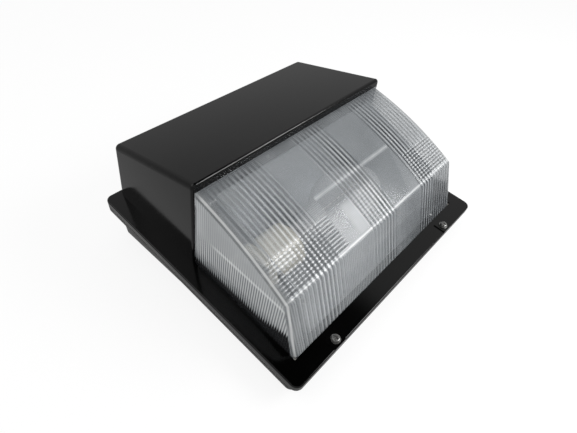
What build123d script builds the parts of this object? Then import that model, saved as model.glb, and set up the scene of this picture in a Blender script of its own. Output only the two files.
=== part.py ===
from build123d import *

import os
from math import atan, cos, hypot, radians, sin, tan

os.makedirs("parts", exist_ok=True)

# Wall pack light, lying on its back. X runs along its length, +Y towards its
# mounted top, +Z out of the wall. The origin is the centre of the rear face.
# Millimetres and degrees. Heights written as z' stand on the seal plane, where
# the cover meets the housing, which leans from the wall.
seal_tilt = 6.5
seal_rise = 40.5  # wall to seal plane at mid height

# Front cover: flange with a turned-down rim
cover_length = 401.0
cover_height = 366.0
cover_wall = 3.0
cover_corner = 10.0
rim_depth = 10.0
rim_width = 5.0
front_seat_width = 8.0  # wider seat along the mounted-bottom edge
rim_round = 2.0

# Front cover: ballast box
box_side_margin = 22.0
box_top_margin = 5.7  # box wall to the flange's mounted-top edge
box_low = 87.5  # height above the flange at the mounted top
box_high = 132.5  # height above the flange at the ridge
box_draft = 3.4
box_round = 7.0
ridge_round = 3.5  # along the ridge and down its two ends
ridge_y = 15.0
mouth_band = 12.0  # lip that hangs below the ridge

# Refractor
refractor_setback = 1.3  # inside the box walls
refractor_front_margin = 25.0
refractor_draft = 4.3
refractor_wall = 3.0
refractor_corner = 8.0
foot_step = 0.4  # how far the refractor steps in where it enters the flange
crease_setback = 26.4  # crease behind the refractor's front edge
crease_rise = 72.1
crease_round = 6.0
crown = 6.5  # bulge of the front face over its chord
opening_gap = 0.5
seam_gap = 0.3
lap_gap = 0.4
lap_length = 10.0
lap_wall = 3.0
lip_width = 8.0
lip_thickness = 2.5
lens_seal_thickness = 1.2

# Refractor clips and their screws
clip_thickness = 1.2
clip_width = 12.0
clip_grip = 4.0  # how far a clip reaches over the refractor's lip
clip_boss_radius = 4.0
clip_screw_radius = 1.5
clip_head_radius = 2.8
clip_head_height = 1.6
clip_side_at = (43.6, 138.6)  # from the refractor's front edge
clip_front_x = 70.0

# Captive cover screws
screw_x = 126.5
screw_edge = 8.5  # axis to the flange's mounted-bottom edge
screw_radius = 2.5
screw_clearance = 0.4
running_fit = 0.05
screw_head_radius = 5.1
screw_head_height = 3.2
screw_length = 20.0
recess_width = 1.3
recess_span = 5.6
recess_depth = 1.6
washer_radius = 6.2
washer_thickness = 0.8
pad_width = 19.0
pad_height = 1.5
boss_radius = 6.0
boss_depth = 15.0
insert_radius = 4.0
insert_length = 8.0
retainer_radius = 5.0
retainer_thickness = 1.2

# Hinge along the mounted-top edge
hinge_x = 110.0
hinge_out = 6.0  # axis to the flange edge
knuckle_radius = 5.0
knuckle_length = 15.0
lug_length = 8.0
hinge_side_gap = 0.5
pin_radius = 2.0
pin_head_radius = 3.2
pin_head_length = 1.5

# Rear housing
housing_inset = 8.5  # tray wall behind the cover's outline
housing_wall = 3.0
housing_corner = 12.0
housing_draft = 3.0
housing_round = 3.0
lip_front_inset = 5.5
lip_depth = 6.0
gasket_space = 2.0
gasket_thickness = 1.7
gasket_width = 9.0
gasket_margin = 0.5
mount_margin_x = 32.5
mount_margin_y = 43.0
mount_hole_radius = 3.5
entry_y = 25.0  # rear wire entry
box_hole_spacing = 89.0
box_hole_radius = 2.75
entry_radius = 11.15
entry_depth = 28.5  # seal plane to the top entry's axis
entry_boss_radius = 17.0
entry_boss_length = 8.0
plug_flange_radius = 14.0
plug_flange_length = 3.0
plug_reach = 9.0

# Gear plate and its bosses
plate_thickness = 1.5
plate_side_margin = 50.5
plate_top_margin = 32.0
plate_height = 118.0
plate_boss_height = 8.0
plate_boss_radius = 5.0
plate_inset = 8.0
tray_screw_radius = 2.0
tray_screw_head = 4.0
tray_screw_head_height = 2.4
tray_screw_length = 6.0

# Core-and-coil ballast
ballast_margin = 12.0  # core to the plate's end
core_length = 140.0
core_stack = 58.0
core_rise = 78.0
core_yoke = 12.0
core_limb = 24.0
core_end = 18.0
coil_gap = 0.3
shunt_gap = 4.0
coil_build = 14.0  # winding thickness beside the stack
coil_lengths = (60.0, 36.0)
core_bolt_y = 22.0
core_bolt_radius = 2.5
core_bolt_head = 4.6
core_bolt_head_height = 3.5

# Capacitor, ignitor, terminal block
capacitor_length = 84.0
capacitor_width = 50.0
capacitor_thickness = 32.0
capacitor_margin = 16.0
capacitor_edge = 36.0  # axis to the plate's mounted-top edge
strap_thickness = 1.2
strap_width = 16.0
strap_foot = 9.6
tab_width = 6.3
tab_thickness = 1.0
tab_length = 8.0
tab_spacing = 18.0
ignitor_length = 48.0
ignitor_width = 30.0
ignitor_height = 28.0
ignitor_margin = 38.0
ignitor_edge = 26.0  # axis to the plate's mounted-bottom edge
ignitor_foot = 8.6
ignitor_foot_thickness = 2.0
terminal_length = 42.0
terminal_width = 20.0
terminal_height = 16.0
terminal_margin = 94.0
terminal_edge = 18.0
terminal_pitch = 12.0
terminal_screw_radius = 2.5
terminal_screw_depth = 5.0
terminal_well_radius = 3.5
terminal_well = 3.0
ground_x = 70.0
ground_y = 6.0
ground_boss_radius = 6.0
ground_boss_height = 6.0
ground_head_radius = 4.5
ground_head_height = 3.0

# Reflector, folded from sheet
sheet = 1.0
reflector_left_gap = 34.7  # from the refractor's left end
reflector_right_gap = 26.7
reflector_top_gap = 16.5
reflector_top_back = 4.0  # behind the ridge
reflector_shoulder_back = 13.0
reflector_shoulder_rise = 49.5
reflector_heel_back = 24.0
reflector_depth = 4.5  # trough under the seal plane
reflector_toe_in = 32.6  # from the refractor's front edge
reflector_lip_in = 10.6
reflector_lip_rise = 8.0
reflector_crest_in = 40.6
reflector_crest_drop = 12.6  # under the crease
reflector_post_in = (32.0, 40.0)
reflector_post_toe = 14.0
reflector_post_heel = 16.0
reflector_hole_gap = 2.0

# Lamp and lampholder, on one axis along X
lamp_back = 77.0  # axis to the ridge
lamp_rise = 53.5
lamp_length = 211.0
base_radius = 19.5
base_length = 40.0
contact_radius = 5.0
contact_length = 2.0
cap_length = 7.0
neck_radius = 17.5
neck_length = 30.0
bulb_radius = 43.0
bulb_middle = 69.0  # from the lamp's far end
glass = 1.2
stem_radius = 7.0
stem_length = 20.0
arc_tube_back = 6.0
arc_tube_radius = 8.0
arc_tube_length = 56.0
lamp_wire_radius = 0.9
lamp_wire_side = 4.0
lamp_wire_past = 14.0
lamp_wire_before = 18.0  # where the long wire starts to pass the arc tube
shell_gap = 0.5
shell_wall = 0.8
shell_inset = 2.0
contact_gap = 0.3
holder_radius = 29.0
holder_length = 56.5
holder_depth = 36.0  # how far the lamp goes in
holder_past = 6.5  # behind the reflector's end
holder_screw_y = 14.0
bracket_thickness = 1.5
bracket_width = 46.0
bracket_foot = 26.0
bracket_over = 20.0  # bracket above the lamp's axis
bracket_pad = 5.0
bracket_screw_y = 14.0

# Leads
lead_radius = 1.5
lead_y = 26.0  # beside the bracket, off the lamp's axis
lead_entry = 6.0
holder_lead_out = (14.5, 7.5)
holder_lead_side = (5.0, -5.0)
holder_lead_z = (28.5, 22.0)
coil_lead_x = (24.0, 32.0, 40.0)
coil_lead_top = 62.0
coil_lead_run = (25.0, 20.5, 16.0)
coil_lead_out = 9.0  # how far they drop in front of the terminal block

# The seal plane, and two planes square to it: its profile (Y up the cover, Z
# out of it) and its elevation (X along the cover, Z out of it).
seal = Plane(
    origin=(0, 0, seal_rise),
    x_dir=(1, 0, 0),
    z_dir=(0, -sin(radians(seal_tilt)), cos(radians(seal_tilt))),
)
under_seal = Plane(origin=seal.origin, x_dir=seal.x_dir, z_dir=-seal.z_dir)
profile = Plane(origin=seal.origin, x_dir=seal.y_dir, z_dir=(1, 0, 0))
elevation = Plane(origin=seal.origin, x_dir=(1, 0, 0), z_dir=-seal.y_dir)

# Levels as z'
face_level = rim_depth
plate_under = rim_depth - cover_wall
pad_level = face_level + pad_height
head_level = pad_level + washer_thickness
lip_top = plate_under - lens_seal_thickness
lip_bottom = lip_top - lip_thickness
clip_bottom = lip_bottom - clip_thickness
housing_seat = -gasket_space
housing_lip_under = housing_seat - lip_depth

# Places worked out from the values above
edge_x = cover_length / 2
edge_y = cover_height / 2
box_length = cover_length - 2 * box_side_margin
refractor_length = box_length - 2 * refractor_setback
refractor_front_y = refractor_front_margin - edge_y
crease_y = refractor_front_y + crease_setback
box_top_y = edge_y - box_top_margin
box_slope = (box_high - box_low) / (box_top_y - box_low * tan(radians(box_draft)) - ridge_y)
screw_y = screw_edge - edge_y
hinge_y = edge_y + hinge_out
front_rise = box_high - mouth_band - opening_gap
refractor_back = ridge_y - seam_gap
gear_floor = housing_wall + plate_boss_height
gear_level = gear_floor + plate_thickness
plate_length = cover_length - 2 * plate_side_margin
plate_y = edge_y - plate_top_margin - plate_height / 2
plate_front = plate_y - plate_height / 2
ballast_x = plate_length / 2 - ballast_margin - core_length / 2
capacitor_x = capacitor_margin + (capacitor_length - plate_length) / 2
capacitor_y = plate_y + plate_height / 2 - capacitor_edge
ignitor_x = ignitor_margin - plate_length / 2
ignitor_y = plate_front + ignitor_edge
terminal_x = terminal_margin - plate_length / 2
terminal_y = plate_front + terminal_edge
reach = cover_length  # longer than anything it cuts

reflector_left = reflector_left_gap - refractor_length / 2
reflector_right = refractor_length / 2 - reflector_right_gap
reflector_top = (ridge_y - reflector_top_back, face_level + front_rise - reflector_top_gap)
reflector_shoulder = (ridge_y - reflector_shoulder_back, reflector_shoulder_rise)
reflector_heel = (ridge_y - reflector_heel_back, -reflector_depth)
reflector_toe = (refractor_front_y + reflector_toe_in, -reflector_depth)
reflector_lip = (refractor_front_y + reflector_lip_in, reflector_lip_rise)
reflector_crest = (
    refractor_front_y + reflector_crest_in,
    face_level + crease_rise - reflector_crest_drop,
)

lamp_y = ridge_y - lamp_back
holder_start = reflector_left - holder_past
holder_end = holder_start + holder_length
lamp_tip = holder_end - holder_depth
lamp_end = lamp_tip + lamp_length
base_end = lamp_tip + base_length
neck_end = base_end + neck_length
bulb_x = lamp_end - bulb_middle
arc_tube_x = bulb_x - arc_tube_back
lamp_centre = seal.from_local_coords(Vector(0, lamp_y, lamp_rise))
lamp_line = Plane(origin=lamp_centre, x_dir=(1, 0, 0), z_dir=(0, -1, 0))


def seal_centre(shape):
    """Centre of a shape in the seal plane's own coordinates."""
    return seal.to_local_coords(shape.center())


def block(x, y, low, high, radius=0.0):
    """Block square to the seal plane; x and y are (from, to) pairs."""
    with BuildPart() as form:
        with BuildSketch(seal.offset(low)):
            with Locations(((x[0] + x[1]) / 2, (y[0] + y[1]) / 2)):
                if radius > 0:
                    RectangleRounded(x[1] - x[0], y[1] - y[0], radius)
                else:
                    Rectangle(x[1] - x[0], y[1] - y[0])
        extrude(amount=high - low)
    return form.part


def post(x, y, low, high, radius):
    """Round post square to the seal plane."""
    with BuildPart() as form:
        with BuildSketch(seal.offset(low)):
            with Locations((x, y)):
                Circle(radius)
        extrude(amount=high - low)
    return form.part


def barrel(x_low, x_high, radius):
    """Cylinder on the hinge axis."""
    with BuildPart() as form:
        with BuildSketch(profile.offset(x_low)):
            with Locations((hinge_y, 0)):
                Circle(radius)
        extrude(amount=x_high - x_low)
    return form.part


def bend_radii(points):
    """Bend at each inner point, as wide as the shorter run beside it allows."""
    corners = [Vector(point) for point in points]
    radii = []
    for before, corner, after in zip(corners, corners[1:], corners[2:]):
        into = corner - before
        out = after - corner
        shorter = min(into.length, out.length)
        radii.append(0.45 * shorter / tan(radians(into.get_angle(out)) / 2))
    return radii


def box_block(inset, near, low, high, far=None):
    """Block with the ballast box's drafted walls moved in by inset."""
    with BuildPart() as form:
        for height in (low, high):
            lean = height * tan(radians(box_draft)) + inset
            back = box_top_y - lean if far is None else far
            with BuildSketch(seal.offset(face_level + height)):
                with Locations((0, (near + back) / 2)):
                    Rectangle(box_length - 2 * lean, back - near)
        loft(ruled=True)
    return form.part


def box_form(inset, near, low):
    """Solid inside the ballast box's walls and sloping face moved in by inset."""
    ridge_z = face_level + box_high - inset / cos(atan(box_slope))
    past = edge_y + knuckle_radius
    with BuildPart() as form:
        add(box_block(inset, near, low, box_high + 2 * box_round))
        with BuildSketch(profile):
            Polygon(
                (-edge_y, -reach),
                (-edge_y, ridge_z + box_slope * (ridge_y + edge_y)),
                (past, ridge_z - box_slope * (past - ridge_y)),
                (past, -reach),
                align=None,
            )
        extrude(amount=reach, both=True, mode=Mode.INTERSECT)
    return form.part


def refractor_form(inset, back):
    """Solid inside the refractor's walls moved in by inset, above the flange."""
    half = refractor_length / 2 - inset
    lean = box_high * tan(radians(refractor_draft))
    chord_y = ridge_y - crease_y
    chord_z = front_rise - crease_rise
    chord = hypot(chord_y, chord_z)
    ridge = (ridge_y, face_level + front_rise)
    crest = (
        (ridge_y + crease_y) / 2 - crown * chord_z / chord,
        face_level + (front_rise + crease_rise) / 2 + crown * chord_y / chord,
    )
    crease = (crease_y, face_level + crease_rise)
    past = 2 * lap_length
    with BuildPart() as form:
        with BuildSketch(profile):
            with BuildLine():
                Line((ridge_y + past, ridge[1]), ridge)
                ThreePointArc(ridge, crest, crease)
                Polyline(
                    crease,
                    (refractor_front_y, face_level),
                    (refractor_front_y, face_level - past),
                    (ridge_y + past, face_level - past),
                    (ridge_y + past, ridge[1]),
                )
            make_face()
            if inset > 0:
                offset(amount=-inset, kind=Kind.INTERSECTION)
            with Locations((back - reach / 2, face_level)):
                Rectangle(reach, reach, mode=Mode.INTERSECT)
        extrude(amount=reach, both=True)
        with BuildSketch(elevation):
            Polygon(
                (-half, face_level),
                (half, face_level),
                (half - lean, face_level + box_high),
                (lean - half, face_level + box_high),
                align=None,
            )
        extrude(amount=reach, both=True, mode=Mode.INTERSECT)
        along = form.edges().filter_by(Axis.X)
        nearest = along.sort_by(
            lambda e: abs(seal_centre(e).Y - crease[0]) + abs(seal_centre(e).Z - crease[1])
        )
        fillet(nearest[0], crease_round)
        for side in (1, -1):
            wall = form.faces().sort_by(lambda f: side * f.center().X)[-1]
            rim = [
                edge
                for edge in wall.edges()
                if seal_centre(edge).Z > face_level + 1.0 and seal_centre(edge).Y < back - 1.0
            ]
            fillet(rim, refractor_corner - inset)
    return form.part


def base_block(grow, low, high):
    """The refractor's outline at the flange, grown sideways and forwards."""
    half = refractor_length / 2 + grow
    with BuildPart() as form:
        with BuildSketch(seal.offset(low)):
            with Locations((0, refractor_front_y - grow + half)):
                RectangleRounded(2 * half, 2 * half, refractor_corner + grow)
            with Locations((0, refractor_back - reach)):
                Rectangle(2 * reach, 2 * reach, mode=Mode.INTERSECT)
        extrude(amount=high - low)
    return form.part


def tray_form(inset, floor_level, radius):
    """The housing's tapering inside or outside, cut off at a level over the wall."""
    with BuildPart() as form:
        with BuildSketch(under_seal):
            RectangleRounded(cover_length - 2 * inset, cover_height - 2 * inset, radius)
        extrude(amount=2 * seal_rise, taper=housing_draft)
        split(bisect_by=Plane.XY.offset(floor_level), keep=Keep.TOP)
    return form.part


def floor_post(x, y, top, radius):
    """Post from the housing's floor up to a level under the seal plane."""
    with BuildPart() as form:
        add(post(x, y, top - 2 * seal_rise, top, radius))
        split(bisect_by=Plane.XY.offset(housing_wall / 2), keep=Keep.TOP)
    return form.part


# Places that several pieces share
side_boss_x = refractor_length / 2 + lip_width + clip_boss_radius + lap_gap
front_boss_y = refractor_front_y - lip_width - clip_boss_radius - lap_gap
side_clips = [(side * side_boss_x, refractor_front_y + y) for side in (-1, 1) for y in clip_side_at]
front_clips = [(side * clip_front_x, front_boss_y) for side in (-1, 1)]
clip_reach = clip_boss_radius + lap_gap + clip_grip
cover_screws = [(side * screw_x, screw_y) for side in (-1, 1)]
hinges = (-hinge_x, hinge_x)
plate_holes = [
    (side * (plate_length / 2 - plate_inset), plate_y + turn * (plate_height / 2 - plate_inset))
    for side in (-1, 1)
    for turn in (-1, 1)
]
core_bolts = [
    (ballast_x + side * (core_length - core_end) / 2, plate_y + turn * core_bolt_y)
    for side in (-1, 1)
    for turn in (-1, 1)
]
reflector_screws_at = [
    (x, y)
    for x in (reflector_left + reflector_post_in[0], reflector_right - reflector_post_in[1])
    for y in (reflector_toe[0] + reflector_post_toe, reflector_heel[0] - reflector_post_heel)
]

# ---------------------------------------------------------------- front cover
with BuildPart() as box_outer:
    add(box_form(0.0, ridge_y, 0.0))
    upper = box_outer.edges().filter_by(lambda e: seal_centre(e).Z > face_level + 1.0)
    behind = upper.filter_by(lambda e: seal_centre(e).Y > ridge_y + box_round)
    fillet(behind, box_round)
    front = box_outer.faces().sort_by(lambda f: seal_centre(f).Y)[0]
    fillet(front.edges().filter_by(lambda e: seal_centre(e).Z > face_level + 1.0), ridge_round)

with BuildPart() as box_inner:
    add(box_form(cover_wall, ridge_y + cover_wall, -cover_wall))
    upper = box_inner.edges().filter_by(lambda e: seal_centre(e).Z > face_level + 1.0)
    behind = upper.filter_by(lambda e: seal_centre(e).Y > ridge_y + box_round)
    fillet(behind, box_round - cover_wall)

with BuildPart() as front_cover:
    with BuildSketch(seal):
        RectangleRounded(cover_length, cover_height, cover_corner)
    extrude(amount=rim_depth)
    top_face = front_cover.faces().sort_by(lambda f: seal_centre(f).Z)[-1]
    fillet(top_face.edges(), rim_round)
    hollow_x = (rim_width - edge_x, edge_x - rim_width)
    hollow_y = (front_seat_width - edge_y, edge_y - rim_width)
    hollow = block(hollow_x, hollow_y, 0.0, plate_under, cover_corner - rim_width)
    add(hollow, mode=Mode.SUBTRACT)
    add(box_outer.part)
    for x, y in cover_screws:
        pad = (x - pad_width / 2, x + pad_width / 2)
        add(block(pad, (-edge_y, y + pad_width / 2), plate_under, pad_level))
        add(post(x, y, 0.0, plate_under, retainer_radius + lap_gap), mode=Mode.SUBTRACT)
    for x, y in side_clips + front_clips:
        add(post(x, y, lip_bottom, plate_under, clip_boss_radius))
    for x in hinges:
        knuckle = (x - knuckle_length / 2, x + knuckle_length / 2)
        add(block(knuckle, (edge_y - rim_width, hinge_y), 0.0, knuckle_radius))
        add(barrel(*knuckle, knuckle_radius))
        add(barrel(x - knuckle_length, x + knuckle_length, pin_radius + running_fit), mode=Mode.SUBTRACT)
    add(box_inner.part, mode=Mode.SUBTRACT)
    mouth_top = box_high - mouth_band
    mouth = box_block(cover_wall, ridge_y - cover_wall, -cover_wall, mouth_top, ridge_y + 2 * cover_wall)
    add(mouth, mode=Mode.SUBTRACT)
    open_half = refractor_length / 2 + opening_gap
    open_y = (refractor_front_y - opening_gap, ridge_y)
    add(block((-open_half, open_half), open_y, plate_under, face_level), mode=Mode.SUBTRACT)
    for x, y in cover_screws:
        add(post(x, y, 0.0, pad_level, screw_radius + screw_clearance), mode=Mode.SUBTRACT)
    for x, y in side_clips + front_clips:
        screw_top = plate_under + cover_wall / 2
        add(post(x, y, lip_bottom, screw_top, clip_screw_radius + running_fit), mode=Mode.SUBTRACT)
front_cover.part.label = "front_cover"
export_step(front_cover.part, "parts/front_cover.step")

# ------------------------------------------------------------------ refractor
frame_y = refractor_back - refractor_wall
lap_inset = cover_wall + lap_gap
lap_end = ridge_y + lap_length
tongue = (lap_inset, frame_y, -cover_wall, front_rise, lap_end)
tongue_hollow = (lap_inset + lap_wall, frame_y, -face_level, front_rise - lap_wall, lap_end)

with BuildPart() as refractor:
    add(refractor_form(0.0, refractor_back))
    add(base_block(-foot_step, lip_bottom, face_level))
    add(base_block(lip_width, lip_bottom, lip_top))
    add(refractor_form(refractor_wall, frame_y), mode=Mode.SUBTRACT)
    with BuildSketch(seal.offset(lip_bottom)):
        inner_half = refractor_length / 2 - refractor_wall
        inner_front = refractor_front_y + refractor_wall
        with Locations((0, inner_front + inner_half)):
            RectangleRounded(2 * inner_half, 2 * inner_half, refractor_corner - refractor_wall)
        with Locations((0, frame_y - reach)):
            Rectangle(2 * reach, 2 * reach, mode=Mode.INTERSECT)
    extrude(amount=face_level - lip_bottom, mode=Mode.SUBTRACT)
    add(box_block(*tongue))
    add(box_block(*tongue_hollow), mode=Mode.SUBTRACT)
refractor.part.label = "refractor"
export_step(refractor.part, "parts/refractor.step")

with BuildPart() as refractor_gasket:
    add(base_block(lip_width, lip_top, plate_under))
    add(base_block(2 * opening_gap, lip_top, plate_under), mode=Mode.SUBTRACT)
refractor_gasket.part.label = "refractor_gasket"
export_step(refractor_gasket.part, "parts/refractor_gasket.step")

with BuildPart() as refractor_clips:
    with BuildSketch(seal.offset(clip_bottom)):
        for x, y in side_clips:
            side = 1 if x > 0 else -1
            with Locations((x + side * (clip_boss_radius - clip_reach) / 2, y)):
                Rectangle(clip_boss_radius + clip_reach, clip_width)
        for x, y in front_clips:
            with Locations((x, y + (clip_reach - clip_boss_radius) / 2)):
                Rectangle(clip_width, clip_boss_radius + clip_reach)
        with Locations(*side_clips, *front_clips):
            Circle(clip_screw_radius + running_fit, mode=Mode.SUBTRACT)
    extrude(amount=clip_thickness)
refractor_clips.part.label = "refractor_clips"
export_step(refractor_clips.part, "parts/refractor_clips.step")

with BuildPart() as refractor_clip_screws:
    with BuildSketch(seal.offset(clip_bottom)):
        with Locations(*side_clips, *front_clips):
            Circle(clip_head_radius)
    extrude(amount=-clip_head_height)
    with BuildSketch(seal.offset(clip_bottom)):
        with Locations(*side_clips, *front_clips):
            Circle(clip_screw_radius)
    extrude(amount=plate_under - clip_bottom)
refractor_clip_screws.part.label = "refractor_clip_screws"
export_step(refractor_clip_screws.part, "parts/refractor_clip_screws.step")

# ------------------------------------------------------ captive cover screws
for (x, y), side_name in zip(cover_screws, ("left", "right")):
    with BuildPart() as captive_screw:
        with BuildSketch(seal.offset(head_level)):
            with Locations((x, y)):
                Circle(screw_head_radius)
        extrude(amount=screw_head_height)
        head_top = captive_screw.faces().sort_by(lambda f: seal_centre(f).Z)[-1]
        fillet(head_top.edges(), screw_head_height * 0.6)
        with BuildSketch(seal.offset(head_level)):
            with Locations((x, y)):
                Circle(screw_radius)
        extrude(amount=-screw_length)
        with BuildSketch(seal.offset(head_level + screw_head_height)):
            with Locations((x, y)):
                Rectangle(recess_span, recess_width)
                Rectangle(recess_width, recess_span)
        extrude(amount=-recess_depth, mode=Mode.SUBTRACT)
    screw_name = "captive_screw_" + side_name
    captive_screw.part.label = screw_name
    export_step(captive_screw.part, f"parts/{screw_name}.step")

with BuildPart() as screw_washers:
    with BuildSketch(seal.offset(pad_level)):
        with Locations(*cover_screws):
            Circle(washer_radius)
            Circle(screw_radius + screw_clearance, mode=Mode.SUBTRACT)
    extrude(amount=washer_thickness)
screw_washers.part.label = "screw_washers"
export_step(screw_washers.part, "parts/screw_washers.step")

with BuildPart() as screw_retainers:
    with BuildSketch(seal.offset(plate_under - retainer_thickness)):
        with Locations(*cover_screws):
            Circle(retainer_radius)
            Circle(screw_radius + screw_clearance, mode=Mode.SUBTRACT)
    extrude(amount=retainer_thickness)
screw_retainers.part.label = "screw_retainers"
export_step(screw_retainers.part, "parts/screw_retainers.step")

# --------------------------------------------------------------- rear housing
entry_plane = Plane(
    origin=seal.from_local_coords(Vector(0, edge_y - housing_inset + housing_wall / 2, -entry_depth)),
    x_dir=(1, 0, 0),
    z_dir=seal.y_dir,
)
mount_holes = GridLocations(
    cover_length - 2 * mount_margin_x, cover_height - 2 * mount_margin_y, 2, 2
)
post_top = reflector_heel[1] - sheet
lining = housing_inset + housing_wall
foot_x = holder_start - bracket_foot / 2
foot_screws = [(foot_x, lamp_centre.Y + turn * bracket_screw_y) for turn in (-1, 1)]
tapped = tray_screw_radius + running_fit

with BuildPart() as rear_housing:
    add(tray_form(housing_inset, 0.0, housing_corner))
    rear_face = rear_housing.faces().sort_by(Axis.Z)[0]
    fillet(rear_face.edges(), housing_round)
    lip_y = (lip_front_inset - edge_y, edge_y)
    add(block((-edge_x, edge_x), lip_y, housing_lip_under, housing_seat, cover_corner))
    for x, y in cover_screws:
        add(post(x, y, housing_seat - boss_depth, housing_seat, boss_radius))
    split(bisect_by=seal.offset(housing_seat), keep=Keep.BOTTOM)
    add(tray_form(lining, housing_wall, housing_corner - housing_wall), mode=Mode.SUBTRACT)
    for x, y in cover_screws:
        add(post(x, y, housing_seat - boss_depth, housing_seat, boss_radius))
    for x, y in reflector_screws_at:
        add(floor_post(x, y, post_top, plate_boss_radius))
    with BuildSketch(entry_plane):
        Circle(entry_boss_radius)
    extrude(amount=-entry_boss_length)
    with BuildSketch(Plane.XY.offset(housing_wall)):
        with Locations(*plate_holes):
            Circle(plate_boss_radius)
    extrude(amount=plate_boss_height)
    with BuildSketch(Plane.XY.offset(housing_wall)):
        with Locations((foot_x, lamp_centre.Y)):
            Rectangle(bracket_foot, bracket_width)
    extrude(amount=bracket_pad)
    with BuildSketch(Plane.XY.offset(housing_wall)):
        with Locations((ground_x, ground_y)):
            Circle(ground_boss_radius)
    extrude(amount=ground_boss_height)
    for x in hinges:
        for side in (-1, 1):
            near = x + side * (knuckle_length / 2 + hinge_side_gap)
            lug = sorted((near, near + side * lug_length))
            add(block(lug, (edge_y - pin_radius, hinge_y), housing_lip_under, housing_seat))
            add(barrel(*lug, knuckle_radius))
        bore = knuckle_length / 2 + hinge_side_gap + lug_length
        add(barrel(x - bore, x + bore, pin_radius + running_fit), mode=Mode.SUBTRACT)
    with BuildSketch(Plane.XY):
        with mount_holes:
            Circle(mount_hole_radius)
        with Locations((0, entry_y)):
            Circle(entry_radius)
            with GridLocations(box_hole_spacing, 0, 2, 1):
                Circle(box_hole_radius)
    extrude(amount=housing_wall, mode=Mode.SUBTRACT)
    with BuildSketch(entry_plane):
        Circle(entry_radius)
    extrude(amount=-entry_boss_length, mode=Mode.SUBTRACT)
    for x, y in cover_screws:
        insert_end = housing_seat - insert_length
        add(post(x, y, insert_end, housing_seat, insert_radius + running_fit), mode=Mode.SUBTRACT)
        add(post(x, y, insert_end - insert_length / 2, insert_end, screw_radius), mode=Mode.SUBTRACT)
    for x, y in reflector_screws_at:
        add(post(x, y, post_top - tray_screw_length, post_top, tapped), mode=Mode.SUBTRACT)
    with BuildSketch(Plane.XY.offset(gear_floor)):
        with Locations(*plate_holes):
            Circle(tapped)
    extrude(amount=-tray_screw_length, mode=Mode.SUBTRACT)
    with BuildSketch(Plane.XY.offset(housing_wall + bracket_pad)):
        with Locations(*foot_screws):
            Circle(tapped)
    extrude(amount=-tray_screw_length, mode=Mode.SUBTRACT)
    with BuildSketch(Plane.XY.offset(housing_wall + ground_boss_height)):
        with Locations((ground_x, ground_y)):
            Circle(tapped)
    extrude(amount=-tray_screw_length, mode=Mode.SUBTRACT)
rear_housing.part.label = "rear_housing"
export_step(rear_housing.part, "parts/rear_housing.step")

with BuildPart() as threaded_inserts:
    with BuildSketch(seal.offset(housing_seat)):
        with Locations(*cover_screws):
            Circle(insert_radius)
            Circle(screw_radius + screw_clearance, mode=Mode.SUBTRACT)
    extrude(amount=-insert_length)
threaded_inserts.part.label = "threaded_inserts"
export_step(threaded_inserts.part, "parts/threaded_inserts.step")

with BuildPart() as cover_gasket:
    with BuildSketch(seal.offset(housing_seat)):
        margin = gasket_margin
        front_y = lip_front_inset + margin - edge_y
        with Locations((0, (front_y + edge_y - margin) / 2)):
            RectangleRounded(cover_length - 2 * margin, edge_y - margin - front_y, cover_corner - margin)
        inner_front = front_y + gasket_width
        inner_back = edge_y - margin - gasket_width
        with Locations((0, (inner_front + inner_back) / 2)):
            inner_length = cover_length - 2 * (margin + gasket_width)
            RectangleRounded(inner_length, inner_back - inner_front, pin_radius, mode=Mode.SUBTRACT)
        with Locations(*cover_screws):
            Circle(screw_radius + 2 * screw_clearance, mode=Mode.SUBTRACT)
    extrude(amount=gasket_thickness)
cover_gasket.part.label = "cover_gasket"
export_step(cover_gasket.part, "parts/cover_gasket.step")

with BuildPart() as hinge_pins:
    pin_end = knuckle_length / 2 + hinge_side_gap + lug_length
    for x in hinges:
        add(barrel(x - pin_end, x + pin_end, pin_radius))
        add(barrel(x - pin_end - pin_head_length, x - pin_end, pin_head_radius))
        add(barrel(x + pin_end, x + pin_end + pin_head_length, pin_head_radius))
hinge_pins.part.label = "hinge_pins"
export_step(hinge_pins.part, "parts/hinge_pins.step")

with BuildPart() as top_entry_plug:
    with BuildSketch(entry_plane):
        Circle(plug_flange_radius)
    extrude(amount=plug_flange_length)
    with BuildSketch(entry_plane):
        Circle(entry_radius - running_fit)
    extrude(amount=-plug_reach)
    with BuildSketch(entry_plane.offset(plug_flange_length)):
        Rectangle(plug_flange_radius, recess_width * 2)
    extrude(amount=-recess_depth, mode=Mode.SUBTRACT)
top_entry_plug.part.label = "top_entry_plug"
export_step(top_entry_plug.part, "parts/top_entry_plug.step")

# ---------------------------------------------------------- plate and gear
strap_side = capacitor_width / 2 + strap_thickness
strap_screws = [
    (capacitor_x, capacitor_y + turn * (strap_side + strap_foot / 2)) for turn in (-1, 1)
]
ignitor_screws = [
    (ignitor_x + side * (ignitor_length + ignitor_foot) / 2, ignitor_y) for side in (-1, 1)
]

with BuildPart() as gear_plate:
    with BuildSketch(Plane.XY.offset(gear_floor)):
        with Locations((0, plate_y)):
            RectangleRounded(plate_length, plate_height, plate_inset / 2)
        with Locations(*plate_holes, *strap_screws, *ignitor_screws):
            Circle(tapped, mode=Mode.SUBTRACT)
        with Locations(*core_bolts):
            Circle(core_bolt_radius + running_fit, mode=Mode.SUBTRACT)
    extrude(amount=plate_thickness)
gear_plate.part.label = "gear_plate"
export_step(gear_plate.part, "parts/gear_plate.step")

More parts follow.
